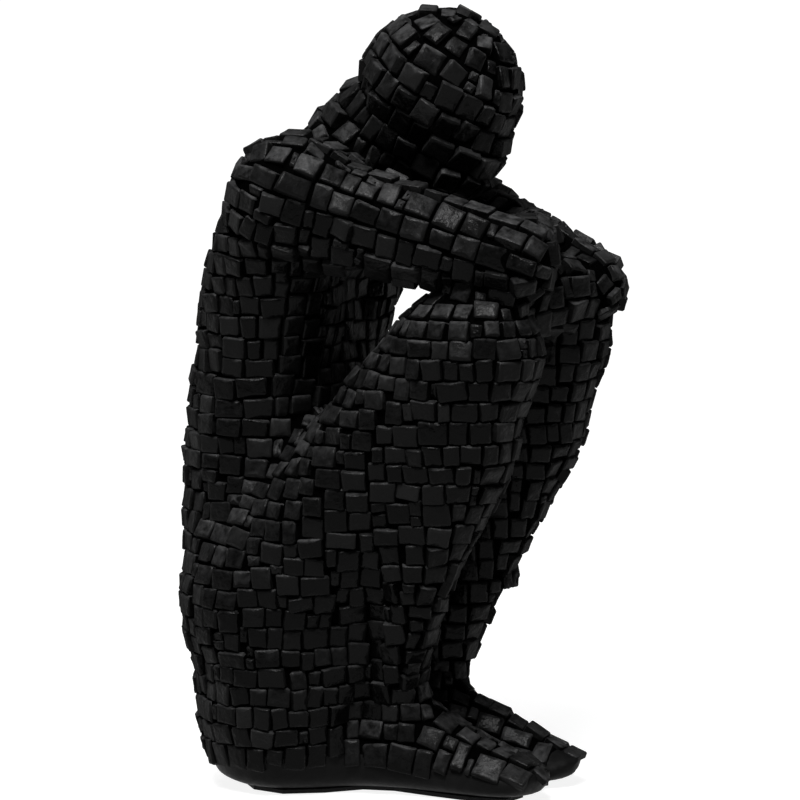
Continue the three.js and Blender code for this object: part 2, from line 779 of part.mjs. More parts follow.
addCasting("trunk", trunk, [], [legEnvelope(RIGHT), legEnvelope(LEFT),
  envelope(upperArms[RIGHT]), envelope(upperArms[LEFT])]);
addCasting("yoke", yoke, [halfSpace(moved(yokeSeam, UP, SEAM_GAP / 2), UP)],
  [envelope(head), envelope(upperArms[RIGHT]), envelope(upperArms[LEFT])]);
addCasting("head", head, [], []);
for (const side of [RIGHT, LEFT]) {
  const name = sideName[side];
  const outward = LEFTWARD.clone().multiplyScalar(side);
  const midPlane = halfSpace(outward.clone().multiplyScalar(SEAM_GAP / 2), outward);
  const bothLegs = [envelope(legs[RIGHT]), envelope(legs[LEFT])];
  addCasting(`${name}_upper_arm`, upperArms[side], [], bothLegs);
  const bothArms = [envelope(upperArms[RIGHT]), envelope(upperArms[LEFT])];
  const crossing = side === LEFT ? [envelope(forearms[RIGHT])] : [];
  addCasting(`${name}_forearm`, forearms[side], [], [...bothLegs, ...bothArms, ...crossing]);
  addCasting(`${name}_leg`, legs[side], [
    midPlane,
    halfSpace(moved(hipSeam, FORWARD, SEAM_GAP), FORWARD),
    halfSpace(seamed(ankleSeam(side), ankleNormal, -1), ankleNormal.clone().negate()),
  ], []);
  addCasting(`${name}_foot`, feet[side], [midPlane, aboveTop], []);
}

// Plinth: a smooth slab that follows the outline of the seat and the feet and rounds in below
const soleField = makeField([...soleBones, ...[trunkBones, seatBones, footBones].flatMap(bothSides)], []);
const soleCentre = at(SOLE_BACK).lerp(at(SOLE_FRONT), 0.45).setZ(PLINTH_TOP);
const sole = measureRing(soleField, makeSection(soleCentre, UP, FORWARD));

function soleLoop(inset, up) {
  const loop = [];
  for (let k = 0; k < PLINTH_SIDES; k += 1) {
    const edge = surfacePoint(soleField, sole.section, sole.angleOf(k / PLINTH_SIDES), FACE_LEVEL);
    loop.push(edge.lerp(soleCentre, inset / edge.distanceTo(soleCentre)).setZ(up));
  }
  return loop;
}

function stackedSolid(outlines) {
  const shell = new Shell();
  const loops = outlines.map((outline) => outline.map((p) => shell.point(p)));
  for (let i = 0; i + 1 < loops.length; i += 1) {
    loops[i].forEach((a, k) => {
      const next = (k + 1) % loops[i].length;
      shell.face(a, loops[i][next], loops[i + 1][next]);
      shell.face(a, loops[i + 1][next], loops[i + 1][k]);
    });
  }
  const [bottom, top] = [loops[0], loops[loops.length - 1]];
  shell.fan(shell.point(soleCentre.clone().setZ(outlines[0][0].z)), [...bottom].reverse());
  shell.fan(shell.point(soleCentre.clone().setZ(outlines[outlines.length - 1][0].z)), top);
  return shell.solid();
}

const plinthBottom = FELT_THICKNESS + REST_GAP;
const plinthLoops = [];
for (let i = 0; i <= PLINTH_STEPS; i += 1) {
  const turn = (Math.PI / 2) * (1 - i / PLINTH_STEPS);
  const drop = (PLINTH_TOP - plinthBottom) * Math.sin(turn);
  plinthLoops.push(soleLoop(PLINTH_ROUND * (1 - Math.cos(turn)), PLINTH_TOP - drop));
}
addNode("plinth", stackedSolid(plinthLoops), PLINTH_LOOK);
const feltInset = PLINTH_ROUND + FELT_MARGIN;
addNode("felt_sheet", stackedSolid([soleLoop(feltInset, 0), soleLoop(feltInset, FELT_THICKNESS)]), FELT_LOOK);

dowels.forEach((dowel) => addNode(dowel.name, rod(dowel, DOWEL_RADIUS, DOWEL_DEPTH), STEEL_LOOK));

// Origin under the middle of the figure's box
const box = new THREE.Box3().setFromObject(group);
const middle = box.getCenter(new THREE.Vector3());
group.children.forEach((node) => node.position.set(-middle.x, -middle.y, -box.min.z));

export default group;
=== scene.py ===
"""Looks of a seated mosaic figure: hand-set tiles laid in courses over the castings of the CAD model.

The castings are wrapped in one smooth skin. Tiles are laid on it course by course, and each tile is
cut to the room that its neighbours leave. Lengths are in metres, and the figure faces -y.
"""

import math
import random
from collections import defaultdict, deque, namedtuple

import bpy
import numpy as np
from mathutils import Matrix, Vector, noise as perlin
from mathutils.bvhtree import BVHTree


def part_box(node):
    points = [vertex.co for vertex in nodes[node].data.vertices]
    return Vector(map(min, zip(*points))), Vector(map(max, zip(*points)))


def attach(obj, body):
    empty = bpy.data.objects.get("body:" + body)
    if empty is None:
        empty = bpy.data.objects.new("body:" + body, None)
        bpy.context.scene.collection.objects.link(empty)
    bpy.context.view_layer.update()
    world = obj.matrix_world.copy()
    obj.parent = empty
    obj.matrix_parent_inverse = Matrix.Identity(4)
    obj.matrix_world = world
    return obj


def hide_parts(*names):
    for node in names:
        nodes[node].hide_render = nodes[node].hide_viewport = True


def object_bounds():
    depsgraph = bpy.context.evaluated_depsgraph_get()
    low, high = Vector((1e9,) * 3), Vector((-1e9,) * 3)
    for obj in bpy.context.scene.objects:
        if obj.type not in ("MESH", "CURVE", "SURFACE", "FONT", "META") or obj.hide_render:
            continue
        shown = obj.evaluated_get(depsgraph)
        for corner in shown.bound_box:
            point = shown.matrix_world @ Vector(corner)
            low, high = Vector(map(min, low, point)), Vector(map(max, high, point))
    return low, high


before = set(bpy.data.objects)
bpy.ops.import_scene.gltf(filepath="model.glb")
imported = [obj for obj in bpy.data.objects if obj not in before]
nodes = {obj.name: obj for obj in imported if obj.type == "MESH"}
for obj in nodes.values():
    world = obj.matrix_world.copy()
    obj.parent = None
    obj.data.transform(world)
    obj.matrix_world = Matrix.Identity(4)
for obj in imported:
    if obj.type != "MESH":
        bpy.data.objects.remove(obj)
cad_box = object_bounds()
MM = 0.001
TINY = 1e-9
UP = Vector((0, 0, 1))

# Skin: one smooth shell round the castings, which carries the tiles
VOXEL = 2.2 * MM
ROUGH_ROUNDS = 12
EVEN_ROUNDS = 4
EVEN_SHARE = 0.5
SKIN_DEPTH = 1.8 * MM
BODY_ROUNDS = 5
BODY_NUDGE = 0.1 * MM
BODY_STEP = 2 * MM
LEAST_STEEP = 0.25
MOST_MOVE = 8 * MM
DOWN_OFFSET = 3
DOWN_FADE = 0.3
COVER = 0.9 * MM
COVER_REACH = 2.5 * MM
COVER_ROUNDS = 4

# Rim: the bare band along the base, below the first course.
# It stands higher below the hips, and rounds in below a foot line; both are (y values, heights).
FELT_TOP = 1.5 * MM
RIM_TOP = 11.5 * MM
RIM_RISE = ((-20 * MM, 0), (0, 3.5 * MM))
RIM_FOOT = ((-50 * MM, -20 * MM), (5.5 * MM, 10 * MM))
RIM_ROUND = 1.1
RIM_FADE = 5 * MM
RIM_WAVE = 2.5 * MM
RIM_WAVES = 45
RIM_OVERLAP = 0.6
BASE_OVER = 3 * MM

# Valley between thigh and calf on the outer side of each leg: its line as (y, z)
VALLEY = np.array(((-16, 98), (-13, 86), (-6, 62), (-1, 40), (2, 20))) * MM
VALLEY_DEPTH = 5 * MM
VALLEY_WIDTH = 6 * MM
VALLEY_FADE = 12 * MM
VALLEY_FACING = 2

# Courses: evening of their direction over the skin
FIELD_ROUNDS = 30
FIELD_PULL = 1.5
FIELD_START = 1e-6

# Tiles: width along the course, height across it, joint, slant, and how unevenly they stand out
Kind = namedtuple("Kind", "width height gap tilt spread")
BODY_TILE = Kind(8.3 * MM, 7.7 * MM, 0.25 * MM, 0.09, 0.65 * MM)
LIMB_TILE = Kind(9.3 * MM, 8.8 * MM, 0.45 * MM, 0.13, 0.95 * MM)
HEAD_TILE = Kind(9.9 * MM, 9.3 * MM, 0.5 * MM, 0.14, 1.05 * MM)
WIDTH_RANGE = (0.74, 1.3)
HEIGHT_RANGE = (0.87, 1.14)
STEP_RANGE = (0.93, 1.08)
SHIFT_RANGE = (-0.5, 0.5)
SEED = 7
CELL = 12 * MM
CROWDING = 0.82
OPPOSITE = -0.3
UNDERSIDE = -0.9
START_SHARE = 0.5
TIE_BREAK = 1e-6

# Fillings: the scale of the pieces, and the room that each needs
BARE = 6.2 * MM
FILLINGS = ((0.8, 0), (0.6, 0), (0.45, BARE))

# Cut of a tile: how far its sides reach towards its neighbours, its corners and its slants
FIT_MOST = 1.7
FIT_LEAST = 0.58
FIT_BESIDE = 0.85
FIT_FACING = 0.2
CORNER_JITTER_MM = 0.22
CORNER_CUT = 0.35 * MM
CHIP = 0.9 * MM
CHIP_RANGE = (0.4, 1.0)
CHIP_ODDS = 0.3
SIDE_JITTER_MM = 0.1
SIDE_BEND = (0.35, 0.65)
TURN = 0.05
TILE_SINK = 1.8 * MM
TILE_LIFT = 1.7 * MM
LIFT_LEAST = 0.6
LIFT_MORE = 0.4
TILE_BEVEL = 0.45 * MM
BEVEL_RANGE = (0.7, 1.4)
MIDDLE_MM = (0.08, 0.14)

# Rings of a tile from its side to its face: inset, height and unevenness
SIDE_RING = (0, -1.2 * TILE_BEVEL, 0.3 * TILE_BEVEL)
EDGE_RING = (TILE_BEVEL, 0, 0.04 * MM)
FACE_RING = (3.5 * TILE_BEVEL, 0.08 * MM, 0.07 * MM)

# How the courses run in each region, and its tiles
HEAD_LEAN = math.radians(32)
LEVEL, BOWED, SIDEWAYS, ALONG = "level", "bowed", "sideways", "along the limb"
REGIONS = {
    "trunk": (LEVEL, BODY_TILE),
    "yoke": (SIDEWAYS, BODY_TILE),
    "head": (BOWED, HEAD_TILE),
    "right_upper_arm": (ALONG, LIMB_TILE),
    "left_upper_arm": (ALONG, LIMB_TILE),
    "right_forearm": (ALONG, LIMB_TILE),
    "left_forearm": (ALONG, LIMB_TILE),
    "right_leg": (LEVEL, BODY_TILE),
    "left_leg": (LEVEL, BODY_TILE),
    "right_foot": (ALONG, LIMB_TILE),
    "left_foot": (ALONG, LIMB_TILE),
}
NAMES = list(REGIONS)

# Body that the skin follows: balls swept along chains of landmarks, with fillets where chains meet.
# A landmark is (to the figure's left, forward, up, radius) in millimetres, for the left side.
LANDMARKS = {
    "pelvis": (26.5, 3, 30, 31),
    "waist": (20.5, -9, 112, 28.8),
    "ribs": (23, -6.5, 150, 27.5),
    "chest": (25.5, 0, 188, 24),
    "blade": (36.5, 7.5, 211, 23.2),
    "tail": (0, 2, 34, 27.5),
    "breast": (0, 0, 195, 22),
    "shoulder": (47.5, 20.5, 231.5, 20.5),
    "collar": (0, 19, 224, 21),
    "neck": (0, 18, 237, 21.5),
    "scruff": (0, 31, 248, 24.5),
    "nape": (0, 47, 258, 23.5),
    "cranium": (0, 61, 270.5, 31.5),
    "jaw": (0, 66, 252, 21.5),
    "right_elbow": (34, 108, 208, 15.5),
    "left_elbow": (34, 108, 193.5, 15.5),
    "right_hand": (-28, 86.5, 213, 11),
    "left_hand": (-28, 86.5, 189, 11),
    "hip": (34, 2, 73, 31.5),
    "thigh": (34.5, 82, 173.5, 24),
    "knee": (35, 93, 174.5, 20.5),
    "shin": (33, 84.5, 138, 22),
    "calf": (32, 64.5, 92, 17.3),
    "ankle": (17, 43.5, 28, 11.5),
    "ham": (32, 11.5, 48, 28.5),
    "shank": (21.5, 45, 50, 12.5),
    "hollow": (28, 37, 76, 13.5),
    "calf_back": (30, 58, 92, 11),
    "seat": (31, 9.5, 27, 26.5),
    "heel": (16.5, 48.5, 16, 13.5),
    "instep": (15.5, 60.5, 23, 12.5),
    "toes": (17.5, 106.5, 2, 10),
    "sole_back": (0, 0, 10, 20.5),
}
FRAME_SHIFT = np.array((0.18, 43.64, 0))
FILLET = 13 * MM
RIGHT, LEFT = -1, 1
SPINE = [("sole_back", "tail", "breast", LEFT)]
NECK = [("neck", "scruff", "nape", "cranium", "jaw", LEFT)]


# Body
def chains_of(side):
    """Chains of one side of the figure by what they stand for."""
    name = "left" if side == LEFT else "right"
    return {
        "flank": [("pelvis", "waist", "ribs", "chest", side)],
        "girdle": [("chest", "blade", "shoulder", "collar", side)],
        "upper_arm": [("shoulder", f"{name}_elbow", side)],
        "forearm": [(f"{name}_elbow", f"{name}_hand", side)],
        "thigh": [("hip", "thigh", "knee", side)],
        "seat": [("ham", "shank", side), ("seat", "heel", side), ("hollow", "calf_back", side)],
        "shin": [("knee", "shin", "calf", "ankle", "heel", side)],
        "foot": [("instep", "toes", side), ("heel", "toes", side)],
    }


def chains_of_region(region):
    """Chains that shape a region's skin: its own and those it runs into."""
    sides = [chains_of(RIGHT), chains_of(LEFT)]
    both = {kind: sides[0][kind] + sides[1][kind] for kind in sides[0]}
    own = sides[0] if region.startswith("right") else sides[1]
    kind = region.removeprefix("right_").removeprefix("left_")
    legs = both["thigh"] + both["seat"]
    return {
        "trunk": SPINE + both["flank"] + both["girdle"] + legs + both["upper_arm"],
        "yoke": both["girdle"] + NECK + both["flank"] + both["upper_arm"],
        "head": NECK + both["girdle"],
        "upper_arm": own["upper_arm"] + own["girdle"] + own["flank"],
        "forearm": own["forearm"],
        "leg": own["thigh"] + own["seat"] + own["shin"] + SPINE + own["flank"] + own["foot"],
        "foot": own["foot"] + own["shin"],
    }[kind]


def landmark(name, side):
    left, forward, up, radius = LANDMARKS[name]
    return (np.array((side * left, -forward, up)) + FRAME_SHIFT) * MM, radius * MM


def along_line(points, start, end):
    """Distance of points from a line, and how far along it each point's foot lies."""
    line = end - start
    share = np.clip((points - start) @ line / (line @ line), 0, 1)
    return np.linalg.norm(points - start - share[:, None] * line, axis=1), share


def body_distance(points, chains):
    """Signed distance from the chains, filleted where they meet and rounded in at the foot line."""
    points = points.copy()
    foot = np.interp(points[:, 1], *RIM_FOOT)
    sunk = np.clip((foot - points[:, 2]) / (foot - FELT_TOP), 0, 1)
    inset = RIM_ROUND * (foot - FELT_TOP) * (1 - np.sqrt(1 - sunk**2))
    points[:, 2] = np.maximum(points[:, 2], foot)
    total = np.full(len(points), 1.0)
    for *names, side in chains:
        away = np.full(len(points), 1.0)
        for first, second in zip(names, names[1:]):
            start, start_radius = landmark(first, side)
            end, end_radius = landmark(second, side)
            along, share = along_line(points, start, end)
            away = np.minimum(away, along - start_radius - share * (end_radius - start_radius))
        overlap = np.clip(FILLET - np.abs(total - away), 0, None)
        total = np.minimum(total, away) - overlap**2 / (4 * FILLET)
    return total + inset


# Skin
def mesh_arrays(mesh):
    points = np.empty(len(mesh.vertices) * 3)
    mesh.vertices.foreach_get("co", points)
    return points.reshape(-1, 3), [tuple(face.vertices) for face in mesh.polygons]


def joined(names):
    """Meshes of several CAD nodes as one, with the number of the node that each face comes from."""
    points, faces, owners = [], [], []
    for owner, name in enumerate(names):
        own_points, own_faces = mesh_arrays(nodes[name].data)
        start = sum(len(part) for part in points)
        points.append(own_points)
        faces += [tuple(start + i for i in face) for face in own_faces]
        owners += [owner] * len(own_faces)
    return np.concatenate(points), faces, owners


def remeshed(points, faces):
    """One watertight shell of quads round all the solids."""
    mesh = bpy.data.meshes.new("rough")
    mesh.from_pydata(points.tolist(), [], faces)
    rough = bpy.data.objects.new("rough", mesh)
    bpy.context.scene.collection.objects.link(rough)
    voxels = rough.modifiers.new("voxels", "REMESH")
    voxels.mode = "VOXEL"
    voxels.voxel_size = VOXEL
    shape = rough.evaluated_get(bpy.context.evaluated_depsgraph_get())
    arrays = mesh_arrays(shape.to_mesh())
    shape.to_mesh_clear()
    bpy.data.objects.remove(rough)
    bpy.data.meshes.remove(mesh)
    return arrays


def edges_of(faces):
    pairs = np.concatenate([np.stack([faces[:, k], faces[:, (k + 1) % 4]], 1) for k in range(4)])
    return np.unique(np.sort(pairs, 1), axis=0)


def largest_island(points, faces):
    """The outer shell only, without bubbles inside it."""
    edges = edges_of(faces)
    label = np.arange(len(points))
    while True:
        least = np.minimum(label[edges[:, 0]], label[edges[:, 1]])
        new = label.copy()
        np.minimum.at(new, edges[:, 0], least)
        np.minimum.at(new, edges[:, 1], least)
        new = new[new]
        if (new == label).all():
            break
        label = new
    kept = label == np.bincount(label).argmax()
    number = np.cumsum(kept) - 1
    return points[kept], number[faces[kept[faces[:, 0]]]]


def neighbour_sum(values, edges):
    total = np.zeros_like(values)
    for axis in range(values.shape[1]):
        for a, b in ((0, 1), (1, 0)):
            weights = values[edges[:, b], axis]
            total[:, axis] += np.bincount(edges[:, a], weights=weights, minlength=len(values))
    return total


def unit(vectors):
    return vectors / np.maximum(np.linalg.norm(vectors, axis=1, keepdims=True), TINY)


def vertex_normals(points, faces):
    corners = points[faces]
    crosses = np.cross(corners[:, 2] - corners[:, 0], corners[:, 3] - corners[:, 1])
    total = np.zeros_like(points)
    for k in range(4):
        for axis in range(3):
            total[:, axis] += np.bincount(faces[:, k], weights=crosses[:, axis], minlength=len(points))
    return unit(total)


def faded(distance, width):
    """From 0 to 1 across a band of the given width, with its middle at distance 0."""
    return np.clip(distance / width + 0.5, 0, 1)


def rim_top(y):
    """Height of the bare rim, which is taller below the hips."""
    return RIM_TOP + np.interp(y, *RIM_RISE)


def onto_body(points, owners):
    """Points moved onto the body, each by the chains of its region; above the rim a little below it."""
    body = points.copy()
    for owner, region in enumerate(NAMES):
        own = owners == owner
        chains = chains_of_region(region)
        spots = points[own]
        for _ in range(BODY_ROUNDS):
            here = body_distance(spots, chains)
            rises = [body_distance(spots + BODY_NUDGE * axis, chains) - here for axis in np.eye(3)]
            slope = np.stack(rises, 1) / BODY_NUDGE
            steep = np.maximum((slope**2).sum(1), LEAST_STEEP)
            deep = SKIN_DEPTH * faded(spots[:, 2] - rim_top(spots[:, 1]), RIM_FADE)
            spots = spots - np.clip((here + deep) / steep, -BODY_STEP, BODY_STEP)[:, None] * slope
        move = spots - points[own]
        size = np.linalg.norm(move, axis=1, keepdims=True)
        body[own] += move * np.minimum(1, MOST_MOVE / np.maximum(size, TINY))
    return body


def valley_depth(points, normals):
    """How far each point moves to deepen the valley between thigh and calf."""
    away = np.full(len(points), np.inf)
    for start, end in zip(VALLEY, VALLEY[1:]):
        away = np.minimum(away, along_line(points[:, 1:], start, end)[0])
    outer = np.clip(normals[:, 0] * np.sign(points[:, 0]) * VALLEY_FACING, 0, 1)
    top, bottom = VALLEY[0][1], VALLEY[-1][1]
    ends = faded(np.minimum(top - points[:, 2], points[:, 2] - bottom), VALLEY_FADE)
    return (VALLEY_DEPTH * np.exp(-(away / VALLEY_WIDTH) ** 2) * outer * ends)[:, None] * normals


def covering(points, faces):
    """Points moved outwards where a casting or a dowel would show through the skin."""
    hidden = sorted(name for name in nodes if name.endswith(("_core", "_dowel")))
    inner_points, inner_faces, _ = joined(hidden)
    inner = BVHTree.FromPolygons(inner_points.tolist(), inner_faces)
    for _ in range(COVER_ROUNDS):
        moves = np.zeros(len(points))
        for i, point in enumerate(points):
            place, normal, _, _ = inner.find_nearest(Vector(point), COVER_REACH)
            if place is not None:
                moves[i] = max(0, COVER - (Vector(point) - place).dot(normal))
        points = points + moves[:, None] * vertex_normals(points, faces)
    return points


mosaic_points, mosaic_faces, mosaic_owner = joined([f"{name}_mosaic" for name in NAMES])
mosaic_tree = BVHTree.FromPolygons(mosaic_points.tolist(), mosaic_faces)


def regions_at(points):
    """Number of the region that each point lies nearest to."""
    return np.array([mosaic_owner[mosaic_tree.find_nearest(Vector(p))[2]] for p in points])


def make_skin():
    solids = [name for name in nodes if name.endswith(("_mosaic", "_core"))] + ["plinth"]
    points, faces, _ = joined(sorted(solids))
    points, faces = remeshed(points, faces)
    points, faces = largest_island(points, np.array(faces))
    edges = edges_of(faces)
    degree = np.bincount(edges.ravel(), minlength=len(points))[:, None]

    def evened(points, rounds):
        for _ in range(rounds):
            points = points + EVEN_SHARE * (neighbour_sum(points, edges) / degree - points)
        return points

    points = evened(points, ROUGH_ROUNDS)
    # Points that look straight down stay where they are
    sideways = np.clip(DOWN_OFFSET + vertex_normals(points, faces)[:, 2:] / DOWN_FADE, 0, 1)
    body = onto_body(points, regions_at(points))
    points = evened(points + sideways * (body - points), EVEN_ROUNDS)
    points = points - valley_depth(points, vertex_normals(points, faces))
    points = covering(points, faces)
    points[:, 2] = np.maximum(points[:, 2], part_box("plinth")[0].z)
    return points, faces, edges


points, faces, edges = make_skin()
normals = vertex_normals(points, faces)
tree = BVHTree.FromPolygons(points.tolist(), faces.tolist())
region_of = regions_at(points)


# Courses
def course_start(name, own_normals):
    """Direction of a region's courses before they are evened out; it is short where it is unsure."""
    run = REGIONS[name][0]
    if run in (LEVEL, BOWED):
        lean = HEAD_LEAN if run == BOWED else 0
        return np.cross((0, -math.sin(lean), math.cos(lean)), own_normals)
    line = np.array([1.0, 0.0, 0.0])
    if run == ALONG:
        own, _ = mesh_arrays(nodes[f"{name}_mosaic"].data)
        line = np.linalg.svd(own - own.mean(0), full_matrices=False)[2][0]
    return line - own_normals * (own_normals @ line)[:, None]


def course_field():
    """Direction of the courses at each point of the skin, evened out where regions meet and at poles."""
    pull = np.zeros_like(points)
    for owner, name in enumerate(NAMES):
        own = region_of == owner
        pull[own] = course_start(name, normals[own])
    pull *= np.linalg.norm(pull, axis=1, keepdims=True)
    field = unit(pull + FIELD_START)
    a = np.concatenate([edges[:, 0], edges[:, 1]])
    b = np.concatenate([edges[:, 1], edges[:, 0]])
    for _ in range(FIELD_ROUNDS):
        alike = np.sign((field[b] * field[a]).sum(1, keepdims=True))
        total = np.zeros_like(field)
        for axis in range(3):
            weights = (field[b] * alike)[:, axis]
            total[:, axis] = np.bincount(a, weights=weights, minlength=len(field))
        total += FIELD_PULL * pull * np.sign((pull * field).sum(1, keepdims=True))
        total -= normals * (total * normals).sum(1, keepdims=True)
        field = unit(total)
    return field


field = course_field()
chance = random.Random(SEED)


# Tiles on the skin
class Tile:
    def __init__(self, place, normal, across, region, kind, width, height):
        self.place = place
        self.normal = normal
        self.across = across
        self.up = normal.cross(across)
        self.region = region
        self.kind = kind
        self.width = width
        self.height = height

    def reach(self, direction):
        """Half of the tile's extent along a direction."""
        wide = abs(direction.dot(self.across)) * self.width
        return (wide + abs(direction.dot(self.up)) * self.height) / 2


tiles = []
shelf = defaultdict(list)


def cell_of(place):
    return tuple(int(math.floor(value / CELL)) for value in place)


def near_tiles(place):
    x, y, z = cell_of(place)
    for dx in (-1, 0, 1):
        for dy in (-1, 0, 1):
            for dz in (-1, 0, 1):
                yield from shelf.get((x + dx, y + dy, z + dz), ())


def apart(one, other):
    """True where two tiles are separated along an axis of the first."""
    gap = other.place - one.place
    if abs(gap.dot(one.across)) > CROWDING * (one.width / 2 + other.reach(one.across)):
        return True
    return abs(gap.dot(one.up)) > CROWDING * (one.height / 2 + other.reach(one.up))


def crowded(tile):
    """True where another tile on the same side of the body leaves no room."""
    for other in near_tiles(tile.place):
        if tile.normal.dot(other.normal) < OPPOSITE:
            continue
        if not apart(tile, other) and not apart(other, tile):
            return True
    return False


def settle(guess, toward, scale):
    """A tile on the skin nearest to a guess, turned to the course direction closest to a given one."""
    place, _, face, _ = tree.find_nearest(guess)
    ring = faces[face]
    normal = Vector(normals[ring].mean(0)).normalized()
    corner = min(ring, key=lambda i: (Vector(points[i]) - place).length_squared)
    across = Vector(field[corner])
    across = (across - normal * across.dot(normal)).normalized()
    if across.dot(toward) < 0:
        across = -across
    region = NAMES[region_of[corner]]
    kind = REGIONS[region][1]
    width = kind.width * scale * chance.uniform(*WIDTH_RANGE)
    height = kind.height * scale * chance.uniform(*HEIGHT_RANGE)
    return Tile(place, normal, across, region, kind, width, height)


def rim_height(place):
    """Top of the bare rim, which wavers along the base."""
    return float(rim_top(place.y)) + RIM_WAVE * perlin.noise(place * RIM_WAVES)


def keep(tile):
    """Adds a tile to the figure if it lies above the rim and has room."""
    lowest = rim_height(tile.place) + RIM_OVERLAP * tile.reach(UP)
    if tile.place.z < lowest or tile.normal.z < UNDERSIDE or crowded(tile):
        return False
    tiles.append(tile)
    shelf[cell_of(tile.place)].append(tile)
    return True


def grow(first):
    """Lays courses outwards from a tile: a course is finished before the next one starts."""
    queue = deque([first])
    while queue:
        tile = queue.popleft()
        for sign in (1, -1):
            step = tile.width * chance.uniform(*STEP_RANGE) + tile.kind.gap
            new = settle(tile.place + sign * step * tile.across, tile.across, 1)
            if keep(new):
                queue.appendleft(new)
        for sign in (1, -1):
            shift = tile.width * chance.uniform(*SHIFT_RANGE)
            step = tile.height + tile.kind.gap
            guess = tile.place + sign * step * tile.up + shift * tile.across
            new = settle(guess, tile.across, 1)
            if keep(new):
                queue.append(new)


def free(place, room):
    return all((other.place - place).length > room for other in near_tiles(place))


def lay_tiles():
    """Courses from the rim upwards, then smaller pieces wherever one still fits."""
    order = np.argsort(points[:, 2] + TIE_BREAK * np.arange(len(points)) / len(points))
    for i in order:
        if points[i, 2] > RIM_TOP + START_SHARE * BODY_TILE.height:
            new = settle(Vector(points[i]), Vector(field[i]), 1)
            if keep(new):
                grow(new)
    spots = list(range(len(points)))
    chance.shuffle(spots)
    for scale, room in FILLINGS:
        for i in spots:
            if points[i, 2] > RIM_TOP and free(Vector(points[i]), room):
                keep(settle(Vector(points[i]), Vector(field[i]), scale))


lay_tiles()


# Tiles as solids
def fitted_sides(tile):
    """Distances from a tile's middle to its four sides, so that it fills the room to its neighbours."""
    sides = []
    for axis, cross, size, depth in (
        (tile.across, tile.up, tile.width, tile.height),
        (tile.up, tile.across, tile.height, tile.width),
    ):
        for sign in (-1, 1):
            reach = FIT_MOST * size / 2
            for other in near_tiles(tile.place):
                if other is tile or tile.normal.dot(other.normal) < FIT_FACING:
                    continue
                gap = other.place - tile.place
                ahead = sign * gap.dot(axis)
                beside = abs(gap.dot(cross))
                wide = depth / 2 + other.reach(cross)
                long = size / 2 + other.reach(axis)
                if ahead > 0 and beside < FIT_BESIDE * wide and ahead / long > beside / wide:
                    reach = min(reach, size / 2 + (ahead - long - tile.kind.gap) / 2)
            sides.append(max(reach, FIT_LEAST * size / 2))
    return sides


def jittered(value):
    return value + chance.gauss(0, CORNER_JITTER_MM) * MM


def outline_of(sides):
    """Outline of a hand-cut tile in its own plane: nearly square, with uneven sides and chipped corners."""
    left, right, low, high = sides
    corners = [(-left, -low), (right, -low), (right, high), (-left, high)]
    corners = [(jittered(x), jittered(y)) for x, y in corners]
    line = []
    for k, (x, y) in enumerate(corners):
        before, after = corners[k - 1], corners[(k + 1) % 4]
        cut = chance.uniform(*CHIP_RANGE) * CHIP if chance.random() < CHIP_ODDS else CORNER_CUT
        for px, py in (before, after):
            share = cut / math.hypot(px - x, py - y)
            line.append((x + share * (px - x), y + share * (py - y)))
        wobble = chance.gauss(0, SIDE_JITTER_MM) * MM
        part = chance.uniform(*SIDE_BEND)
        nx, ny = y - after[1], after[0] - x
        size = math.hypot(nx, ny)
        line.append((
            x + part * (after[0] - x) + wobble * nx / size,
            y + part * (after[1] - y) + wobble * ny / size,
        ))
    return line


class Pieces:
    """Collects the solids of one region's tiles in a single mesh."""

    def __init__(self):
        self.points = []
        self.faces = []
        self.flat = []

    def ring(self, spots):
        start = len(self.points)
        self.points += spots
        return list(range(start, start + len(spots)))

    def band(self, low, high):
        count = len(low)
        for k in range(count):
            after = (k + 1) % count
            self.faces.append((low[k], low[after], high[after], high[k]))

    def add(self, tile):
        """Adds a tile's solid: a slanted block with bevelled edges and a slightly uneven face."""
        kind = tile.kind
        tilt = tile.across * chance.gauss(0, kind.tilt) + tile.up * chance.gauss(0, kind.tilt)
        normal = (tile.normal + tilt).normalized()
        turn = tile.across + tile.up * chance.gauss(0, TURN)
        across = (turn - normal * turn.dot(normal)).normalized()
        up = normal.cross(across)
        line = outline_of(fitted_sides(tile))
        small = min(tile.width / kind.width, 1)
        lift = TILE_LIFT * (LIFT_LEAST + LIFT_MORE * small) + kind.spread * chance.uniform(-1, 1)

        def spot(x, y, z):
            return tile.place + across * x + up * y + normal * z

        def inset(x, y, distance):
            share = 1 - distance / math.hypot(x, y)
            return x * share, y * share

        def level(distance, height, spread):
            return [
                spot(
                    *inset(x, y, distance * chance.uniform(*BEVEL_RANGE)),
                    lift + height + chance.gauss(0, spread),
                )
                for x, y in line
            ]

        bottom = self.ring([spot(x, y, -TILE_SINK) for x, y in line])
        side = self.ring(level(*SIDE_RING))
        edge = self.ring(level(*EDGE_RING))
        face = self.ring(level(*FACE_RING))
        middle = self.ring([spot(0, 0, lift + chance.gauss(*MIDDLE_MM) * MM)])[0]
        self.band(bottom, side)
        self.faces.append(tuple(reversed(bottom)))
        self.flat += [True] * (len(line) + 1)
        self.band(side, edge)
        self.band(edge, face)
        for k in range(len(face)):
            self.faces.append((face[k], face[(k + 1) % len(face)], middle))
        self.flat += [False] * (3 * len(line))

    def make(self, name):
        mesh = bpy.data.meshes.new(name)
        mesh.from_pydata(self.points, [], self.faces)
        mesh.polygons.foreach_set("use_smooth", [not flat for flat in self.flat])
        return linked(name, mesh)


def linked(name, mesh):
    mesh.update()
    piece = bpy.data.objects.new(name, mesh)
    bpy.context.scene.collection.objects.link(piece)
    return piece


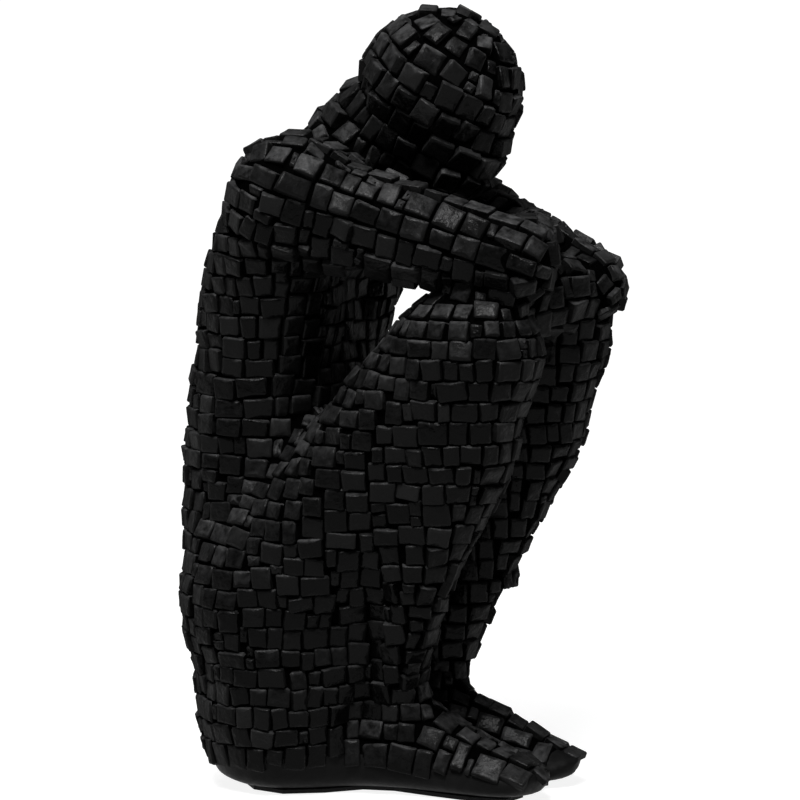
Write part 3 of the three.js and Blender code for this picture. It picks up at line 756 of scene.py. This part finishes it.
def skin_piece(name, chosen):
    """Part of the skin as a smooth mesh of its own."""
    used = np.unique(chosen)
    number = np.zeros(len(points), int)
    number[used] = np.arange(len(used))
    mesh = bpy.data.meshes.new(name)
    mesh.from_pydata(points[used].tolist(), [], number[chosen].tolist())
    mesh.polygons.foreach_set("use_smooth", [True] * len(mesh.polygons))
    return linked(name, mesh)


# Materials. Ramps are (value, grey) stops, noises (scale, detail) and bumps (strength, distance).
NOISE_ROUGHNESS = 0.6
MIX_SHARE, MIX_ONE, MIX_OTHER, MIX_COLOUR = 0, 6, 7, 2

TILE_GREYS = ((0, 0.0006), (0.5, 0.002), (0.85, 0.0045), (1, 0.01))
TILE_SPECULAR = 0.046
TILE_HOLLOWS, HOLLOWS_BUMP = (300, 3), (0.9, 0.6 * MM)
TILE_GRAIN, GRAIN_BUMP = (1500, 4), (0.25, 0.15 * MM)
# Painted sheen with some dusting: tiles whose faces look up get a lighter grey, which stands in for the
# sheen of the overhead lamps; noise and each tile make it patchy.
SHEEN_AND_DUST = (0.06, 0.06, 0.061, 1)
PAINTED_SHEEN_UPWARD = ((0.05, 0), (0.65, 1))
SHEEN_DUST_NOISE, SHEEN_DUST_PATCHES = (260, 5), ((0.35, 0.1), (0.7, 1))
SHEEN_DUST_BY_TILE = ((0, 0.2), (1, 1))
GLOSS_NOISE, GLOSS = (420, 4), ((0.3, 0.16), (0.7, 0.34))
GLOSS_BY_TILE = ((0, 0.85), (1, 1.2))
GRAZING = ((0.35, 0), (0.85, 1))
GRAZING_ROUGH = (0.9, 0.9, 0.9, 1)

MORTAR_NOISE, MORTAR_BUMP = (900, 5), (0.6, 0.5 * MM)
MORTAR_GREYS = ((0.3, 0.0004), (0.8, 0.0012))
MORTAR_ROUGH = ((0.3, 0.7), (0.7, 0.9))

BASE_CLOUDS, BASE_GREYS = (120, 4), ((0.3, 0.003), (0.7, 0.007))
BASE_SPECKS, BASE_ROUGH = (500, 4), ((0.3, 0.46), (0.7, 0.62))
BASE_DENTS, BASE_BUMP = (180, 3), (0.35, 0.8 * MM)
BASE_SPECULAR = 0.05

PLAIN_DETAIL = 4
PLAIN_RAMP = (0.3, 0.7)
PLAIN_ROUGH = 0.06
PLAIN_BUMP = (0.3, 0.3 * MM)


class Look:
    """A procedural material, with the nodes that feed its shader."""

    def __init__(self, name):
        self.material = bpy.data.materials.new(name)
        self.material.use_nodes = True
        self.nodes = self.material.node_tree.nodes
        self.links = self.material.node_tree.links

    def add(self, kind):
        return self.nodes.new(f"ShaderNode{kind}")

    def feed(self, socket, value):
        """Sets a socket to a constant, or links another node's output to it."""
        if isinstance(value, (int, float, tuple)):
            socket.default_value = value
        else:
            self.links.new(value, socket)

    def shade(self, values):
        shader = self.nodes["Principled BSDF"]
        for name, value in values.items():
            self.feed(shader.inputs[name], value)

    def noise(self, scale, detail):
        texture = self.add("TexNoise")
        self.feed(texture.inputs["Vector"], self.add("TexCoord").outputs["Object"])
        self.feed(texture.inputs["Scale"], scale)
        self.feed(texture.inputs["Detail"], detail)
        self.feed(texture.inputs["Roughness"], NOISE_ROUGHNESS)
        return texture.outputs["Fac"]

    def ramp(self, source, stops):
        node = self.add("ValToRGB")
        elements = node.color_ramp.elements
        for end, (position, grey) in ((0, stops[0]), (1, stops[-1])):
            elements[end].position = position
            elements[end].color = (grey, grey, grey, 1)
        for position, grey in stops[1:-1]:
            elements.new(position).color = (grey, grey, grey, 1)
        self.feed(node.inputs["Fac"], source)
        return node.outputs["Color"]

    def bump(self, height, strength, distance, below=None):
        node = self.add("Bump")
        self.feed(node.inputs["Strength"], strength)
        self.feed(node.inputs["Distance"], distance)
        self.feed(node.inputs["Height"], height)
        if below is not None:
            self.feed(node.inputs["Normal"], below)
        return node.outputs["Normal"]

    def mixed(self, share, one, other):
        node = self.add("Mix")
        node.data_type = "RGBA"
        for socket, value in ((MIX_SHARE, share), (MIX_ONE, one), (MIX_OTHER, other)):
            self.feed(node.inputs[socket], value)
        return node.outputs[MIX_COLOUR]

    def math(self, operation, one, other):
        node = self.add("Math")
        node.operation = operation
        self.feed(node.inputs[0], one)
        self.feed(node.inputs[1], other)
        return node.outputs[0]

    def product(self, one, other):
        return self.math("MULTIPLY", one, other)


def tile_material():
    """Satin black that differs from tile to tile; faces that look up get a painted sheen with some dusting,
    a lighter grey that stands in for the overhead lamps' sheen.
    """
    look = Look("mosaic_black")
    geometry = look.add("NewGeometry")
    each = geometry.outputs["Random Per Island"]
    dice = look.add("TexWhiteNoise")
    dice.noise_dimensions = "1D"
    look.feed(dice.inputs["W"], each)
    facing = look.add("SeparateXYZ")
    look.feed(facing.inputs[0], geometry.outputs["Normal"])
    # Painted sheen with some dusting: a lighter grey where the face looks up, patchy by noise and by tile.
    painted_sheen_upward = look.ramp(facing.outputs["Z"], PAINTED_SHEEN_UPWARD)
    sheen_dust_patches = look.ramp(look.noise(*SHEEN_DUST_NOISE), SHEEN_DUST_PATCHES)
    tile_sheen_share = look.ramp(dice.outputs["Value"], SHEEN_DUST_BY_TILE)
    sheen_and_dust = look.product(look.product(painted_sheen_upward, sheen_dust_patches), tile_sheen_share)
    gloss = look.ramp(look.noise(*GLOSS_NOISE), GLOSS)
    polish = look.ramp(dice.outputs["Value"], GLOSS_BY_TILE)
    grazing = look.ramp(look.add("LayerWeight").outputs["Facing"], GRAZING)
    hollows = look.bump(look.noise(*TILE_HOLLOWS), *HOLLOWS_BUMP)
    look.shade({
        "Base Color": look.mixed(sheen_and_dust, look.ramp(each, TILE_GREYS), SHEEN_AND_DUST),
        "Roughness": look.mixed(grazing, look.product(gloss, polish), GRAZING_ROUGH),
        "Specular IOR Level": TILE_SPECULAR,
        "Normal": look.bump(look.noise(*TILE_GRAIN), *GRAIN_BUMP, hollows),
    })
    return look.material


def mortar_material():
    look = Look("mortar_black")
    grain = look.noise(*MORTAR_NOISE)
    look.shade({
        "Base Color": look.ramp(grain, MORTAR_GREYS),
        "Roughness": look.ramp(grain, MORTAR_ROUGH),
        "Specular IOR Level": 0,
        "Normal": look.bump(grain, *MORTAR_BUMP),
    })
    return look.material


def base_material():
    look = Look("base_black")
    look.shade({
        "Base Color": look.ramp(look.noise(*BASE_CLOUDS), BASE_GREYS),
        "Roughness": look.ramp(look.noise(*BASE_SPECKS), BASE_ROUGH),
        "Specular IOR Level": BASE_SPECULAR,
        "Normal": look.bump(look.noise(*BASE_DENTS), *BASE_BUMP),
    })
    return look.material


def plain_material(name, dark, light, rough, metal, scale):
    look = Look(name)
    cloud = look.noise(scale, PLAIN_DETAIL)
    look.shade({
        "Base Color": look.ramp(cloud, tuple(zip(PLAIN_RAMP, (dark, light)))),
        "Roughness": look.ramp(cloud, tuple(zip(PLAIN_RAMP, (rough - PLAIN_ROUGH, rough + PLAIN_ROUGH)))),
        "Metallic": metal,
        "Normal": look.bump(cloud, *PLAIN_BUMP),
    })
    return look.material


tile_black = tile_material()
mortar_black = mortar_material()
base_black = base_material()
casting = plain_material("casting", dark=0.012, light=0.03, rough=0.8, metal=0, scale=300)
felt = plain_material("felt", dark=0.008, light=0.016, rough=0.94, metal=0, scale=1600)
steel = plain_material("steel", dark=0.45, light=0.6, rough=0.35, metal=1, scale=800)

# Pieces
by_region = defaultdict(Pieces)
for tile in tiles:
    by_region[tile.region].add(tile)
for name in NAMES:
    piece = by_region[name].make(f"{name}_tiles")
    piece.data.materials.append(tile_black)
    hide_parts(f"{name}_mosaic")
    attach(piece, "root")

corners = points[faces]
over_rim = corners[:, :, 2].max(1) - rim_top(corners[:, :, 1].mean(1))
mortar = skin_piece("mortar_bed", faces[over_rim > BASE_OVER])
mortar.data.materials.append(mortar_black)
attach(mortar, "root")
rim_piece = skin_piece("base_rim", faces[over_rim <= BASE_OVER])
rim_piece.data.materials.append(base_black)
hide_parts("plinth")
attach(rim_piece, "root")

for name, node in nodes.items():
    look = casting if name.endswith("_core") else steel if name.endswith("_dowel") else felt
    if not name.endswith("_mosaic") and name != "plinth":
        node.data.materials.clear()
        node.data.materials.append(look)

# Floor: a wide white bowl. To the camera and in mirrors it is white; other rays see a grey floor.
FLOOR_SIDES = 96
FLOOR_RINGS = ((6, 0), (7, 0.1), (8, 0.38), (9, 0.8), (10, 1.4))
FLOOR_GREY = (0.35, 0.35, 0.35, 1)
FLOOR_ROUGH = 0.9
WHITE = (1, 1, 1, 1)
FLOOR_GLOW = {"From Min": 0.3, "From Max": 2.5, "To Min": 0.88, "To Max": 1}


def floor_mesh():
    spots = [(0, 0, 0)]
    for radius, height in FLOOR_RINGS:
        for k in range(FLOOR_SIDES):
            turn = 2 * math.pi * k / FLOOR_SIDES
            spots.append((radius * math.cos(turn), radius * math.sin(turn), height))
    sides = []
    for k in range(FLOOR_SIDES):
        after = (k + 1) % FLOOR_SIDES
        sides.append((0, 1 + k, 1 + after))
        for ring in range(len(FLOOR_RINGS) - 1):
            low, high = 1 + FLOOR_SIDES * ring, 1 + FLOOR_SIDES * (ring + 1)
            sides.append((low + k, high + k, high + after, low + after))
    mesh = bpy.data.meshes.new("floor")
    mesh.from_pydata(spots, [], sides)
    return mesh


def floor_material():
    """The floor's glow rises with the distance, so that the far background is an even white."""
    look = Look("floor_white")
    rays = look.add("LightPath").outputs
    seen = look.math("MAXIMUM", rays["Is Camera Ray"], rays["Is Glossy Ray"])
    seen = look.math("MAXIMUM", seen, rays["Is Transmission Ray"])
    away = look.add("VectorMath")
    away.operation = "LENGTH"
    look.feed(away.inputs[0], look.add("NewGeometry").outputs["Position"])
    glow = look.add("MapRange")
    for setting, value in FLOOR_GLOW.items():
        look.feed(glow.inputs[setting], value)
    look.feed(glow.inputs["Value"], away.outputs["Value"])
    look.shade({
        "Base Color": FLOOR_GREY,
        "Roughness": FLOOR_ROUGH,
        "Specular IOR Level": 0,
        "Emission Color": WHITE,
        "Emission Strength": look.product(seen, glow.outputs["Result"]),
    })
    return look.material


floor = linked("floor", floor_mesh())
floor.data.materials.append(floor_material())

# World, lamps and camera
AZIMUTH = math.radians(-65)
ELEVATION = math.radians(7)
DISTANCE = 1.5
LENS = 174
SENSOR = 36
CLIP_END = 200
SKY_STRENGTH = 0.08
SUN_STRENGTH = 0.5
SUN_ANGLE = math.radians(16)

middle = (cad_box[0] + cad_box[1]) / 2
toward = Vector((
    math.sin(AZIMUTH) * math.cos(ELEVATION),
    -math.cos(AZIMUTH) * math.cos(ELEVATION),
    math.sin(ELEVATION),
))
rightward = Vector((math.cos(AZIMUTH), math.sin(AZIMUTH), 0))

world = bpy.data.worlds.new("studio")
bpy.context.scene.world = world
world.use_nodes = True
sky = world.node_tree.nodes["Background"]
sky.inputs["Color"].default_value = WHITE
sky.inputs["Strength"].default_value = SKY_STRENGTH


def placed(item, spot, view):
    """Puts a lamp or the camera in the scene, so that it looks along a direction."""
    item.location = spot
    item.rotation_mode = "QUATERNION"
    item.rotation_quaternion = view.to_track_quat("-Z", "Y")
    bpy.context.scene.collection.objects.link(item)


def lamp(light, shares, distance):
    """A lamp that faces the figure; the shares are towards the camera, to its right, and up."""
    direction = toward * shares[0] + rightward * shares[1] + UP * shares[2]
    spot = middle + direction.normalized() * distance
    placed(bpy.data.objects.new(light.name, light), spot, middle - spot)


def disc(name, size, power):
    light = bpy.data.lights.new(name, "AREA")
    light.shape = "DISK"
    light.size = size
    light.energy = power
    return light


sun = bpy.data.lights.new("sun", "SUN")
sun.energy = SUN_STRENGTH
sun.angle = SUN_ANGLE
lamp(sun, (0.55, -0.15, 0.8), distance=2)
lamp(disc("key", size=0.6, power=19), (0.65, -0.12, 0.85), distance=1.5)
lamp(disc("top", size=0.9, power=8.5), (0.25, -0.25, 1), distance=1.2)

camera = bpy.data.objects.new("camera", bpy.data.cameras.new("camera"))
camera.data.lens = LENS
camera.data.sensor_width = SENSOR
camera.data.clip_end = CLIP_END
placed(camera, middle + toward * DISTANCE, -toward)
bpy.context.scene.camera = camera
bpy.context.scene.view_settings.view_transform = "Standard"
